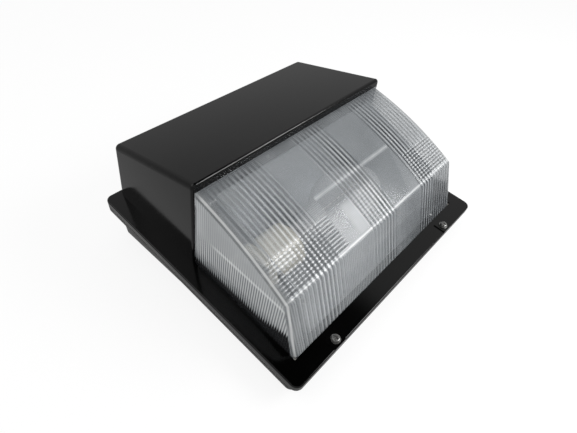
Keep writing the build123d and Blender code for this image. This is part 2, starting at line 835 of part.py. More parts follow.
with BuildPart() as tray_screws:
    seats = [
        (plate_holes, gear_level),
        (strap_screws, gear_level + strap_thickness),
        (ignitor_screws, gear_level + ignitor_foot_thickness),
        (foot_screws, housing_wall + bracket_pad + bracket_thickness),
    ]
    for places, level in seats:
        with BuildSketch(Plane.XY.offset(level)):
            with Locations(*places):
                Circle(tray_screw_head)
        extrude(amount=tray_screw_head_height)
        with BuildSketch(Plane.XY.offset(level)):
            with Locations(*places):
                Circle(tray_screw_radius)
        extrude(amount=-tray_screw_length)
tray_screws.part.label = "tray_screws"
export_step(tray_screws.part, "parts/tray_screws.step")

with BuildPart() as ground_screw:
    with BuildSketch(Plane.XY.offset(housing_wall + ground_boss_height)):
        with Locations((ground_x, ground_y)):
            RegularPolygon(ground_head_radius, 6)
    extrude(amount=ground_head_height)
    with BuildSketch(Plane.XY.offset(housing_wall + ground_boss_height)):
        with Locations((ground_x, ground_y)):
            Circle(tray_screw_radius)
    extrude(amount=-tray_screw_length)
ground_screw.part.label = "ground_screw"
export_step(ground_screw.part, "parts/ground_screw.step")

core_plane = Plane(origin=(ballast_x, plate_y, gear_level + core_rise / 2), x_dir=(1, 0, 0), z_dir=(0, -1, 0))
window_height = (core_rise - core_limb) / 2 - core_yoke
window_length = core_length - 2 * core_end
window_z = (core_limb + window_height) / 2

with BuildPart() as ballast_core:
    with BuildSketch(core_plane):
        Rectangle(core_length, core_rise)
        with GridLocations(0, 2 * window_z, 1, 2):
            Rectangle(window_length, window_height, mode=Mode.SUBTRACT)
    extrude(amount=core_stack / 2, both=True)
    with BuildSketch(Plane.XY.offset(gear_level)):
        with Locations(*core_bolts):
            Circle(core_bolt_radius + running_fit)
    extrude(amount=core_rise, mode=Mode.SUBTRACT)
ballast_core.part.label = "ballast_core"
export_step(ballast_core.part, "parts/ballast_core.step")

coil_starts = (
    ballast_x - (sum(coil_lengths) + shunt_gap) / 2,
    ballast_x + (sum(coil_lengths) + shunt_gap) / 2 - coil_lengths[1],
)
coil_rise = core_limb + 2 * (window_height - coil_gap)
coil_width = core_stack + 2 * coil_build

with BuildPart() as ballast_coils:
    for start, length in zip(coil_starts, coil_lengths):
        with BuildSketch(Plane.YZ.offset(start)):
            with Locations((plate_y, gear_level + core_rise / 2)):
                RectangleRounded(coil_width, coil_rise, coil_build / 2)
                Rectangle(core_stack + 2 * coil_gap, core_limb + 2 * coil_gap, mode=Mode.SUBTRACT)
        extrude(amount=length)
ballast_coils.part.label = "ballast_coils"
export_step(ballast_coils.part, "parts/ballast_coils.step")

with BuildPart() as ballast_bolts:
    with BuildSketch(Plane.XY.offset(gear_level + core_rise)):
        with Locations(*core_bolts):
            RegularPolygon(core_bolt_head, 6)
    extrude(amount=core_bolt_head_height)
    with BuildSketch(Plane.XY.offset(gear_floor)):
        with Locations(*core_bolts):
            RegularPolygon(core_bolt_head, 6)
    extrude(amount=-core_bolt_head_height)
    with BuildSketch(Plane.XY.offset(gear_floor)):
        with Locations(*core_bolts):
            Circle(core_bolt_radius)
    extrude(amount=plate_thickness + core_rise)
ballast_bolts.part.label = "ballast_bolts"
export_step(ballast_bolts.part, "parts/ballast_bolts.step")

can_z = gear_level + capacitor_thickness / 2
can_start = capacitor_x - capacitor_length / 2

with BuildPart() as capacitor:
    with BuildSketch(Plane.YZ.offset(can_start)):
        with Locations((capacitor_y, can_z)):
            SlotOverall(capacitor_width, capacitor_thickness)
    extrude(amount=capacitor_length)
    with BuildSketch(Plane.YZ.offset(can_start)):
        with Locations((capacitor_y, can_z)):
            with GridLocations(tab_spacing, 0, 2, 1):
                Rectangle(tab_width, tab_thickness)
    extrude(amount=-tab_length)
capacitor.part.label = "capacitor"
export_step(capacitor.part, "parts/capacitor.step")

with BuildPart() as capacitor_strap:
    with BuildSketch(Plane.YZ.offset(capacitor_x)):
        with Locations((capacitor_y, can_z)):
            SlotOverall(2 * strap_side, capacitor_thickness + 2 * strap_thickness)
        with Locations((capacitor_y, (gear_level + can_z) / 2)):
            Rectangle(2 * strap_side, capacitor_thickness / 2)
        with Locations((capacitor_y, gear_level + strap_thickness / 2)):
            Rectangle(2 * (strap_side + strap_foot), strap_thickness)
        with Locations((capacitor_y, can_z)):
            SlotOverall(capacitor_width, capacitor_thickness, mode=Mode.SUBTRACT)
        with Locations((capacitor_y, (gear_level + can_z) / 2)):
            Rectangle(capacitor_width, capacitor_thickness / 2, mode=Mode.SUBTRACT)
        with Locations((capacitor_y, gear_level - reach / 2)):
            Rectangle(reach, reach, mode=Mode.SUBTRACT)
    extrude(amount=strap_width / 2, both=True)
    with BuildSketch(Plane.XY.offset(gear_level)):
        with Locations(*strap_screws):
            Circle(tapped)
    extrude(amount=strap_thickness, mode=Mode.SUBTRACT)
capacitor_strap.part.label = "capacitor_strap"
export_step(capacitor_strap.part, "parts/capacitor_strap.step")

with BuildPart() as ignitor:
    with BuildSketch(Plane.XY.offset(gear_level)):
        with Locations((ignitor_x, ignitor_y)):
            Rectangle(ignitor_length, ignitor_width)
    extrude(amount=ignitor_height)
    fillet(ignitor.edges().filter_by(Axis.Z), ignitor_foot_thickness)
    with BuildSketch(Plane.XY.offset(gear_level)):
        with Locations((ignitor_x, ignitor_y)):
            Rectangle(ignitor_length + 2 * ignitor_foot, ignitor_width / 2)
        with Locations(*ignitor_screws):
            Circle(tapped, mode=Mode.SUBTRACT)
    extrude(amount=ignitor_foot_thickness)
ignitor.part.label = "ignitor"
export_step(ignitor.part, "parts/ignitor.step")

terminal_top = gear_level + terminal_height

with BuildPart() as terminal_block:
    with BuildSketch(Plane.XY.offset(gear_level)):
        with Locations((terminal_x, terminal_y)):
            Rectangle(terminal_length, terminal_width)
    extrude(amount=terminal_height)
    with BuildSketch(Plane.XY.offset(terminal_top)):
        with Locations((terminal_x, terminal_y)):
            with GridLocations(terminal_pitch, 0, 3, 1):
                Circle(terminal_well_radius)
    extrude(amount=-terminal_well, mode=Mode.SUBTRACT)
    with BuildSketch(Plane.XY.offset(terminal_top - terminal_well)):
        with Locations((terminal_x, terminal_y)):
            with GridLocations(terminal_pitch, 0, 3, 1):
                Circle(terminal_screw_radius / 2 + running_fit)
    extrude(amount=-terminal_screw_depth, mode=Mode.SUBTRACT)
terminal_block.part.label = "terminal_block"
export_step(terminal_block.part, "parts/terminal_block.step")

with BuildPart() as terminal_screws:
    with BuildSketch(Plane.XY.offset(terminal_top - terminal_well)):
        with Locations((terminal_x, terminal_y)):
            with GridLocations(terminal_pitch, 0, 3, 1):
                Circle(terminal_screw_radius)
    extrude(amount=terminal_well / 2)
    with BuildSketch(Plane.XY.offset(terminal_top - terminal_well)):
        with Locations((terminal_x, terminal_y)):
            with GridLocations(terminal_pitch, 0, 3, 1):
                Circle(terminal_screw_radius / 2)
    extrude(amount=-terminal_screw_depth)
terminal_screws.part.label = "terminal_screws"
export_step(terminal_screws.part, "parts/terminal_screws.step")

# ------------------------------------------------------------------ reflector
outline = (reflector_top, reflector_shoulder, reflector_heel, reflector_toe, reflector_lip)

with BuildPart() as reflector:
    with BuildSketch(profile.offset(reflector_left)):
        with BuildLine():
            Polyline(*outline)
            offset(amount=sheet, side=Side.LEFT, kind=Kind.INTERSECTION, closed=True)
        make_face()
    extrude(amount=reflector_right - reflector_left)
    for start in (reflector_left, reflector_right - sheet):
        with BuildSketch(profile.offset(start)):
            Polygon(*outline, reflector_crest, align=None)
        extrude(amount=sheet)
    with BuildSketch(profile.offset(reflector_left)):
        with Locations((lamp_y, lamp_rise)):
            Circle(holder_radius + reflector_hole_gap)
    extrude(amount=sheet, mode=Mode.SUBTRACT)
    for x, y in reflector_screws_at:
        add(post(x, y, post_top, post_top + sheet, tapped), mode=Mode.SUBTRACT)
reflector.part.label = "reflector"
export_step(reflector.part, "parts/reflector.step")

with BuildPart() as reflector_screws:
    for x, y in reflector_screws_at:
        seat_level = post_top + sheet
        add(post(x, y, seat_level, seat_level + tray_screw_head_height, tray_screw_head))
        add(post(x, y, seat_level - tray_screw_length, seat_level, tray_screw_radius))
reflector_screws.part.label = "reflector_screws"
export_step(reflector_screws.part, "parts/reflector_screws.step")

# -------------------------------------------------------- lampholder and lamp
bracket_floor = housing_wall + bracket_pad
bracket_top = lamp_centre.Z + bracket_over
holder_back = Plane(
    origin=(holder_start, lamp_centre.Y, lamp_centre.Z), x_dir=(0, -1, 0), z_dir=(-1, 0, 0)
)
shell_back = lamp_tip - contact_gap
holder_bore = base_radius + shell_gap + shell_wall + running_fit
holder_screws = [(side * holder_screw_y, 0.0) for side in (-1, 1)]
holder_leads = [(-lead_y, side) for side in holder_lead_side]

with BuildPart() as lampholder_bracket:
    with BuildSketch(holder_back):
        with Locations((0, (bracket_top + bracket_floor) / 2 - lamp_centre.Z)):
            Rectangle(bracket_width, bracket_top - bracket_floor)
        with Locations(*holder_screws):
            Circle(tapped, mode=Mode.SUBTRACT)
    extrude(amount=bracket_thickness)
    with BuildSketch(Plane.XY.offset(bracket_floor)):
        with Locations((foot_x, lamp_centre.Y)):
            Rectangle(bracket_foot, bracket_width)
        with Locations(*foot_screws):
            Circle(tapped, mode=Mode.SUBTRACT)
    extrude(amount=bracket_thickness)
lampholder_bracket.part.label = "lampholder_bracket"
export_step(lampholder_bracket.part, "parts/lampholder_bracket.step")

with BuildPart() as lampholder:
    with BuildSketch(holder_back):
        Circle(holder_radius)
    extrude(amount=holder_start - holder_end)
    fillet(lampholder.edges().filter_by(GeomType.CIRCLE), holder_radius / 10)
    with BuildSketch(holder_back.offset(holder_start - holder_end)):
        Circle(holder_bore)
    extrude(amount=holder_end - shell_back + shell_wall, mode=Mode.SUBTRACT)
    with BuildSketch(holder_back):
        with Locations(*holder_screws):
            Circle(tapped)
        with Locations(*holder_leads):
            Circle(lead_radius + running_fit)
    extrude(amount=-tray_screw_length, mode=Mode.SUBTRACT)
lampholder.part.label = "lampholder"
export_step(lampholder.part, "parts/lampholder.step")

with BuildPart() as lampholder_screws:
    with BuildSketch(holder_back.offset(bracket_thickness)):
        with Locations(*holder_screws):
            Circle(tray_screw_head)
    extrude(amount=tray_screw_head_height)
    with BuildSketch(holder_back.offset(bracket_thickness)):
        with Locations(*holder_screws):
            Circle(tray_screw_radius)
    extrude(amount=-tray_screw_length)
lampholder_screws.part.label = "lampholder_screws"
export_step(lampholder_screws.part, "parts/lampholder_screws.step")

lamp_axis = Axis(lamp_centre, (1, 0, 0))

with BuildPart() as lampholder_shell:
    with BuildSketch(lamp_line):
        Polygon(
            (shell_back - shell_wall, 0),
            (shell_back - shell_wall, base_radius + shell_gap + shell_wall),
            (holder_end - shell_inset, base_radius + shell_gap + shell_wall),
            (holder_end - shell_inset, base_radius + shell_gap),
            (shell_back, base_radius + shell_gap),
            (shell_back, 0),
            align=None,
        )
    revolve(axis=lamp_axis)
lampholder_shell.part.label = "lampholder_shell"
export_step(lampholder_shell.part, "parts/lampholder_shell.step")

with BuildPart() as lamp_base:
    with BuildSketch(lamp_line):
        Polygon(
            (lamp_tip, 0),
            (lamp_tip, contact_radius),
            (lamp_tip + contact_length, contact_radius),
            (lamp_tip + cap_length, base_radius),
            (base_end, base_radius),
            (base_end, 0),
            align=None,
        )
    revolve(axis=lamp_axis)
lamp_base.part.label = "lamp_base"
export_step(lamp_base.part, "parts/lamp_base.step")

with BuildPart() as lamp_envelope:
    for thin, mode in ((0.0, Mode.ADD), (glass, Mode.SUBTRACT)):
        with BuildSketch(lamp_line):
            with BuildLine():
                neck = Line((base_end, neck_radius - thin), (neck_end, neck_radius - thin))
                Spline(neck @ 1, (bulb_x, bulb_radius - thin), tangents=((1, 0), (1, 0)))
                EllipticalCenterArc(
                    (bulb_x, 0), lamp_end - bulb_x - thin, bulb_radius - thin, 0, arc_size=90
                )
                Polyline((lamp_end - thin, 0), (base_end, 0), (base_end, neck_radius - thin))
            make_face()
        revolve(axis=lamp_axis, mode=mode)
lamp_envelope.part.label = "lamp_envelope"
export_step(lamp_envelope.part, "parts/lamp_envelope.step")

with BuildPart() as lamp_stem:
    with BuildSketch(Plane(origin=lamp_centre, x_dir=(0, -1, 0), z_dir=(-1, 0, 0)).offset(-base_end)):
        Circle(stem_radius)
        with GridLocations(0, 2 * lamp_wire_side, 1, 2):
            Circle(lamp_wire_radius + running_fit, mode=Mode.SUBTRACT)
    extrude(amount=-stem_length)
lamp_stem.part.label = "lamp_stem"
export_step(lamp_stem.part, "parts/lamp_stem.step")

tube_ends = (arc_tube_x - arc_tube_length / 2, arc_tube_x + arc_tube_length / 2)

with BuildPart() as lamp_arc_tube:
    with BuildSketch(lamp_line):
        with BuildLine():
            Polyline((tube_ends[0], 0), (tube_ends[1], 0), (tube_ends[1], arc_tube_radius))
            Polyline((tube_ends[1], arc_tube_radius), (tube_ends[0], arc_tube_radius), (tube_ends[0], 0))
        make_face()
    revolve(axis=lamp_axis)
    fillet(lamp_arc_tube.edges().filter_by(GeomType.CIRCLE), arc_tube_radius / 2)
lamp_arc_tube.part.label = "lamp_arc_tube"
export_step(lamp_arc_tube.part, "parts/lamp_arc_tube.step")

stem_wire = base_end + stem_length / 2
around = arc_tube_radius + lamp_wire_side
wire_turn = tube_ends[0] - lamp_wire_before
wire_end = tube_ends[1] + lamp_wire_past
wire_routes = [
    [
        (stem_wire, lamp_wire_side),
        ((stem_wire + wire_turn) / 2, lamp_wire_side),
        (wire_turn, around),
        (wire_end, around),
        (wire_end, 0),
        (tube_ends[1], 0),
    ],
    [
        (stem_wire, -lamp_wire_side),
        ((stem_wire + wire_turn) / 2, -lamp_wire_side),
        (wire_turn, 0),
        (tube_ends[0], 0),
    ],
]

with BuildPart() as lamp_frame:
    for route in wire_routes:
        points = [lamp_line.from_local_coords(Vector(*point)) for point in route]
        with BuildLine():
            path = FilletPolyline(*points, radius=bend_radii(points))
        with BuildSketch(Plane(origin=path @ 0, z_dir=path % 0)):
            Circle(lamp_wire_radius)
        sweep(path=path)
lamp_frame.part.label = "lamp_frame"
export_step(lamp_frame.part, "parts/lamp_frame.step")

# ---------------------------------------------------------------------- leads
lead_start = holder_start + lead_entry
lead_out_y = lamp_centre.Y + lead_y
ends = (
    (can_start - tab_length, capacitor_y - tab_spacing / 2),
    (ignitor_x - ignitor_length / 2, ignitor_y),
)
lamp_routes = [
    [
        (lead_start, lead_out_y, lamp_centre.Z + side),
        (holder_start - out, lead_out_y, lamp_centre.Z + side),
        (holder_start - out, lead_out_y, low),
        (holder_start - out, end[1], low),
        (end[0], end[1], low),
    ]
    for side, out, low, end in zip(holder_lead_side, holder_lead_out, holder_lead_z, ends)
]
coil_face = plate_y - coil_width / 2
block_face = terminal_y - terminal_width / 2
coil_lead_y = block_face - coil_lead_out
coil_routes = [
    [
        (x, coil_face, coil_lead_top),
        (x, coil_lead_y, coil_lead_top),
        (x, coil_lead_y, low),
        (terminal_x + (1 - turn) * terminal_pitch, coil_lead_y, low),
        (terminal_x + (1 - turn) * terminal_pitch, block_face, low),
    ]
    for turn, (x, low) in enumerate(zip(coil_lead_x, coil_lead_run))
]

with BuildPart() as lamp_leads:
    for route in lamp_routes:
        with BuildLine():
            path = FilletPolyline(*route, radius=bend_radii(route))
        with BuildSketch(Plane(origin=path @ 0, z_dir=path % 0)):
            Circle(lead_radius)
        sweep(path=path)
        print("lamp lead, length", round(path.length, 1))
lamp_leads.part.label = "lamp_leads"
export_step(lamp_leads.part, "parts/lamp_leads.step")

with BuildPart() as ballast_leads:
    for route in coil_routes:
        with BuildLine():
            path = FilletPolyline(*route, radius=bend_radii(route))
        with BuildSketch(Plane(origin=path @ 0, z_dir=path % 0)):
            Circle(lead_radius)
        sweep(path=path)
        print("ballast lead, length", round(path.length, 1))
ballast_leads.part.label = "ballast_leads"
export_step(ballast_leads.part, "parts/ballast_leads.step")
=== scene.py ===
import bpy
import numpy as np
from math import radians, sin, cos, tan, pi
from mathutils import Matrix, Vector


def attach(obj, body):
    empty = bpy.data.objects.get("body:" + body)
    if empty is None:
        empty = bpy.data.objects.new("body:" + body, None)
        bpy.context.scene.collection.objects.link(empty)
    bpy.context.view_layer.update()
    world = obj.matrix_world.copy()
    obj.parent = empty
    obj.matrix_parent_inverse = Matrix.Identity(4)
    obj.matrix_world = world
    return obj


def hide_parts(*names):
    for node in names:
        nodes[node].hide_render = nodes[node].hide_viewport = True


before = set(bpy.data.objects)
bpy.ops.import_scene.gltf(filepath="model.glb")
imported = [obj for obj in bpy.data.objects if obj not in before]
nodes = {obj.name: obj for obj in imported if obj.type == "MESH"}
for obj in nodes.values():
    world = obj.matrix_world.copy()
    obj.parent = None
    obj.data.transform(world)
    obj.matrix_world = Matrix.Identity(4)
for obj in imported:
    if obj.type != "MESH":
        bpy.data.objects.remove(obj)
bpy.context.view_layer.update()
print("frame loaded", len(nodes), "nodes")

sealTilt = radians(6.5)   # the cover's seal plane leans this far off the wall
sealRise = 0.0405
mm = 0.001


def sealToWorld(points):
    # x stays; y = y' cos t - z' sin t; z = rise + y' sin t + z' cos t; mm in, metres out
    p = np.asarray(points, float) * mm
    x, y, z = p[..., 0], p[..., 1], p[..., 2]
    c, s = cos(sealTilt), sin(sealTilt)
    return np.stack((x, y * c - z * s, sealRise + y * s + z * c), -1)


class Signal:
    # wraps one output socket; Python operators add Math nodes to the same tree
    def __init__(self, maker, socket):
        self.maker = maker
        self.socket = socket

    def math(self, operation, *others):
        return self.maker.node("Math", {"operation": operation}, dict(enumerate((self,) + others)))

    def __add__(self, other): return self.math("ADD", other)
    def __mul__(self, other): return self.math("MULTIPLY", other)
    def __sub__(self, other): return self.math("SUBTRACT", other)
    def __rsub__(self, other): return self.maker.node("Math", {"operation": "SUBTRACT"}, {0: other, 1: self})
    def __abs__(self): return self.math("ABSOLUTE")

    def clip(self):
        return self.math("MAXIMUM", 0.0).math("MINIMUM", 1.0)

    def wave(self, pitch):
        # sin(2 pi v / pitch)
        return (self * (2 * pi / pitch)).math("SINE")

    def ramp(self, low, high):
        return self.maker.node("MapRange", {"clamp": True, "interpolation_type": "SMOOTHSTEP"},
                               {"Value": self, "From Min": low, "From Max": high})


class Finish:
    # one node tree, a material's or the world's: node() makes any node, surface() the Principled shader
    def __init__(self, name, owner=None):
        self.material = owner or bpy.data.materials.new(name)
        self.material.use_nodes = True
        self.tree = self.material.node_tree
        self.tree.nodes.clear()
        self.end = self.tree.nodes.new("ShaderNodeOutputWorld" if owner else "ShaderNodeOutputMaterial")

    def node(self, kind, settings=None, inputs=None, output=0):
        made = self.tree.nodes.new("ShaderNode" + kind)
        for key, value in (settings or {}).items():
            setattr(made, key, value)
        for key, value in (inputs or {}).items():
            if isinstance(value, Signal):
                self.tree.links.new(value.socket, made.inputs[key])
            else:
                socket = made.inputs[key]
                if socket.type == "RGBA" and len(value) == 3:
                    value = (*value, 1.0)
                socket.default_value = value
        return Signal(self, made.outputs[output])

    def place(self):
        return self.node("TexCoord", {}, {}, "Object")

    def axis(self, name):
        return self.node("SeparateXYZ", {}, {0: self.place()}, name)

    def attribute(self, name):
        return self.node("Attribute", {"attribute_name": name}, {}, "Fac")

    def noise(self, scale, detail=3.0, roughness=0.5, where=None):
        inputs = {"Vector": where or self.place(), "Scale": scale, "Detail": detail, "Roughness": roughness}
        return self.node("TexNoise", {}, inputs)

    def mix(self, factor, first, second):
        return self.node("Mix", {"data_type": "RGBA"}, {0: factor, 6: first, 7: second}, 2)

    def bump(self, height, strength, distance):
        return self.node("Bump", {}, {"Strength": strength, "Distance": distance, "Height": height})

    def rays(self):
        kinds = ("Is Camera Ray", "Is Glossy Ray", "Is Transmission Ray")
        return [self.node("LightPath", {}, {}, kind) for kind in kinds]

    def blend(self, factor, first, second):
        return self.node("MixShader", {}, {0: factor, 1: first, 2: second})

    def finish(self, shader):
        self.tree.links.new(shader.socket, self.end.inputs["Surface"])
        return self.material

    def surface(self, **inputs):
        names = {key.replace("_", " "): value for key, value in inputs.items()}
        return self.finish(self.node("BsdfPrincipled", {}, names))


def dress(material, *names):
    for name in names:
        piece = nodes[name]
        piece.data.materials.clear()
        piece.data.materials.append(material)


def makeMesh(name, vertices, faces, material, body, attributes):
    # vertices (n, 3) in metres and faces (m, 3 or 4) as index arrays become one object at the origin
    mesh = bpy.data.meshes.new(name)
    mesh.from_pydata(vertices.tolist(), [], faces.tolist())
    mesh.update()
    for key, values in attributes.items():
        layer = mesh.attributes.new(key, "FLOAT", "POINT")
        layer.data.foreach_set("value", np.asarray(values, np.float32))
    mesh.polygons.foreach_set("use_smooth", np.ones(len(mesh.polygons), bool))
    piece = bpy.data.objects.new(name, mesh)
    bpy.context.scene.collection.objects.link(piece)
    mesh.materials.append(material)
    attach(piece, body)
    return piece


def gridFaces(rows, columns, start=0, flip=False):
    # quads (r, c) (r, c+1) (r+1, c+1) (r+1, c) of a rows x columns grid numbered row by row
    r, c = np.meshgrid(np.arange(rows - 1), np.arange(columns - 1), indexing="ij")
    a = (r * columns + c + start).ravel()
    quads = np.stack((a, a + 1, a + columns + 1, a + columns), 1)
    return quads[:, ::-1] if flip else quads


# ---- finishes for the carried-over nodes

paint = {"colour": (0.0006, 0.0006, 0.0006), "dust": (0.004, 0.0039, 0.0037), "roughness": 0.11,
         "peel": 0.00025, "gloss": 1.38}


def makeCoverPaint():
    # near-black gloss coat: shallow orange peel, roughness wandering by noise, dusty film in faint clouds
    f = Finish("coverPaint")
    peel = f.noise(520.0, 2.0)
    cloud = f.noise(9.0, 4.0).ramp(0.35, 0.75)
    specks = f.noise(1500.0, 2.0).ramp(0.68, 0.78)
    colour = f.mix(cloud * 0.35 + specks * 0.25, paint["colour"], paint["dust"])
    return f.surface(Base_Color=colour, Roughness=cloud * 0.06 + paint["roughness"], IOR=paint["gloss"],
                     Normal=f.bump(peel, 0.06, paint["peel"]))


def makeHousingPaint():
    # same coat on the cast tray, flatter and a little browner, with a fine cast grain
    f = Finish("housingPaint")
    grain = f.noise(900.0, 3.0, 0.6)
    cloud = f.noise(14.0, 4.0).ramp(0.3, 0.8)
    colour = f.mix(cloud * 0.5, (0.005, 0.005, 0.0047), (0.014, 0.0135, 0.012))
    return f.surface(Base_Color=colour, Roughness=cloud * 0.12 + 0.24, IOR=paint["gloss"],
                     Normal=f.bump(grain, 0.15, 0.0003))


def makeSilicone():
    f = Finish("siliconeRubber")
    skin = f.noise(700.0, 2.0)
    return f.surface(Base_Color=f.mix(skin, (0.40, 0.39, 0.36), (0.50, 0.48, 0.45)), Roughness=0.75,
                     Normal=f.bump(skin, 0.25, 0.0002))


def makeZincSteel():
    # bright plate: the fine marks of plating and turning are noise, and stains roughen it
    f = Finish("zincSteel")
    fine = f.noise(2200.0, 3.0)
    stain = f.noise(160.0, 3.0).ramp(0.35, 0.7)
    return f.surface(Base_Color=f.mix(stain, (0.62, 0.61, 0.58), (0.80, 0.80, 0.78)), Metallic=1.0,
                     Roughness=stain * 0.14 + 0.24, Normal=f.bump(fine, 0.12, 0.0001))


def makeWeatheredZinc():
    # the cover screws: plate gone dull grey, darker in blotches
    f = Finish("weatheredZinc")
    blotch = f.noise(420.0, 4.0).ramp(0.3, 0.7)
    return f.surface(Base_Color=f.mix(blotch, (0.17, 0.17, 0.165), (0.36, 0.36, 0.35)), Metallic=1.0,
                     Roughness=blotch * 0.12 + 0.26, Normal=f.bump(f.noise(1600.0), 0.15, 0.0001))


def makeBrass():
    f = Finish("brass")
    tarnish = f.noise(120.0, 4.0).ramp(0.3, 0.75)
    return f.surface(Base_Color=f.mix(tarnish, (0.75, 0.53, 0.22), (0.52, 0.36, 0.15)), Metallic=1.0,
                     Roughness=tarnish * 0.2 + 0.22, Normal=f.bump(f.noise(1800.0), 0.10, 0.0001))


def makeGalvanised():
    # spangle: Voronoi cells 6 mm across, each a slightly different grey
    f = Finish("galvanisedSheet")
    cells = f.node("TexVoronoi", {}, {"Vector": f.place(), "Scale": 170.0}, "Color")
    tone = f.node("SeparateColor", {}, {0: cells}, 0)
    return f.surface(Base_Color=f.mix(tone, (0.46, 0.47, 0.48), (0.66, 0.67, 0.68)), Metallic=1.0,
                     Roughness=tone * 0.18 + 0.32, Normal=f.bump(tone + f.noise(900.0) * 0.3, 0.08, 0.0002))


def makeCoreVarnish():
    # laminations 0.5 mm thick stacked along y, under a dipped coat with runs
    f = Finish("coreVarnish")
    sheets = abs((f.axis("Y") * (pi / 0.0005)).math("SINE"))
    runs = f.noise(60.0, 4.0).ramp(0.35, 0.7)
    return f.surface(Base_Color=f.mix(runs, (0.028, 0.022, 0.020), (0.075, 0.060, 0.050)),
                     Roughness=runs * 0.25 + 0.28, Coat_Weight=0.4,
                     Normal=f.bump(sheets + runs, 0.5, 0.00025))


def makeCoilTape():
    # wrapped tape: overlapping turns 5 mm wide across x, with a woven grain
    f = Finish("coilTape")
    turn = (f.axis("X") * 200.0).math("FRACT")
    weave = f.noise(1400.0, 2.0)
    edge = turn.ramp(0.0, 0.12)
    tone = f.mix(f.noise(70.0, 3.0), (0.42, 0.20, 0.065), (0.60, 0.33, 0.12))
    return f.surface(Base_Color=f.mix(edge, (0.24, 0.11, 0.04), tone), Roughness=weave * 0.2 + 0.30,
                     Coat_Weight=0.3, Normal=f.bump(edge + weave * 0.15, 0.5, 0.0003))


def makeCanAluminium():
    # drawn can: hair lines stretched along x
    f = Finish("canAluminium")
    stretched = f.node("Mapping", {}, {"Vector": f.place(), "Scale": (6.0, 900.0, 900.0)})
    lines = f.noise(1.0, 3.0, 0.5, stretched)
    return f.surface(Base_Color=f.mix(lines, (0.60, 0.60, 0.61), (0.78, 0.78, 0.79)), Metallic=1.0,
                     Roughness=lines * 0.2 + 0.25, Normal=f.bump(lines, 0.12, 0.0001))


def makePlastic(name, low, high, rough):
    f = Finish(name)
    spark = f.noise(1100.0, 2.0)
    return f.surface(Base_Color=f.mix(f.noise(40.0, 3.0), low, high), Roughness=spark * 0.12 + rough,
                     Normal=f.bump(spark, 0.25, 0.00015))


def makeReflectorSheet():
    # semi-matt lighting sheet, faintly brushed along x, with soft waviness that breaks up what it mirrors
    f = Finish("reflectorSheet")
    stretched = f.node("Mapping", {}, {"Vector": f.place(), "Scale": (30.0, 1200.0, 1200.0)})
    brushed = f.noise(1.0, 3.0, 0.5, stretched)
    wavy = f.noise(45.0, 2.0)
    return f.surface(Base_Color=f.mix(brushed, (0.52, 0.54, 0.56), (0.62, 0.63, 0.64)), Metallic=1.0,
                     Roughness=brushed * 0.10 + 0.42, Normal=f.bump(wavy + brushed * 0.2, 0.15, 0.0006))


def makePorcelain():
    f = Finish("glazedPorcelain")
    speck = f.noise(380.0, 3.0).ramp(0.62, 0.75)
    return f.surface(Base_Color=f.mix(speck, (0.80, 0.77, 0.68), (0.62, 0.58, 0.50)),
                     Roughness=speck * 0.2 + 0.14, Coat_Weight=0.5,
                     Normal=f.bump(f.noise(60.0, 2.0), 0.15, 0.0006))


def makeLampGlass():
    # clear blown glass: nearly see-through, with faint cords in it
    f = Finish("lampGlass")
    cords = f.noise(28.0, 2.0)
    return f.surface(Base_Color=f.mix(cords, (0.86, 0.88, 0.90), (0.95, 0.96, 0.97)), Roughness=0.14,
                     Alpha=cords * 0.10 + 0.16, Normal=f.bump(cords, 0.1, 0.0006))


def makeSleeve(name, low, high):
    f = Finish(name)
    braid = f.noise(1500.0, 2.0)
    return f.surface(Base_Color=f.mix(f.noise(90.0, 2.0), low, high), Roughness=braid * 0.15 + 0.38,
                     Normal=f.bump(braid, 0.2, 0.0001))


def makeGreenScrew():
    f = Finish("greenLacquer")
    wear = f.noise(420.0, 3.0).ramp(0.55, 0.75)
    return f.surface(Base_Color=f.mix(wear, (0.05, 0.28, 0.09), (0.30, 0.36, 0.22)), Metallic=0.6,
                     Roughness=wear * 0.2 + 0.28, Normal=f.bump(f.noise(900.0), 0.15, 0.0001))


dress(makeCoverPaint(), "front_cover")
dress(makeHousingPaint(), "rear_housing", "top_entry_plug")
dress(makeSilicone(), "cover_gasket", "refractor_gasket")
dress(makeWeatheredZinc(), "captive_screw_left", "captive_screw_right", "screw_washers")
dress(makeZincSteel(), "refractor_clips", "refractor_clip_screws", "screw_retainers", "hinge_pins",
      "tray_screws", "ballast_bolts", "reflector_screws", "lampholder_screws", "lamp_frame")
dress(makeBrass(), "threaded_inserts", "terminal_screws", "lampholder_shell", "lamp_base")
dress(makeGalvanised(), "gear_plate", "capacitor_strap", "lampholder_bracket")
dress(makeCoreVarnish(), "ballast_core")
dress(makeCoilTape(), "ballast_coils")
dress(makeCanAluminium(), "capacitor")
dress(makePlastic("greyPlastic", (0.16, 0.165, 0.17), (0.22, 0.225, 0.23), 0.42), "ignitor")
dress(makePlastic("blackPlastic", (0.016, 0.016, 0.016), (0.032, 0.031, 0.030), 0.38), "terminal_block")
dress(makeReflectorSheet(), "reflector")
dress(makePorcelain(), "lampholder")
dress(makeLampGlass(), "lamp_envelope", "lamp_stem", "lamp_arc_tube")
dress(makeSleeve("whiteSleeve", (0.62, 0.60, 0.54), (0.74, 0.72, 0.66)), "lamp_leads")
dress(makeSleeve("blackSleeve", (0.016, 0.016, 0.017), (0.034, 0.034, 0.036)), "ballast_leads")
dress(makeGreenScrew(), "ground_screw")
print("finishes done")

# ---- prismatic lens

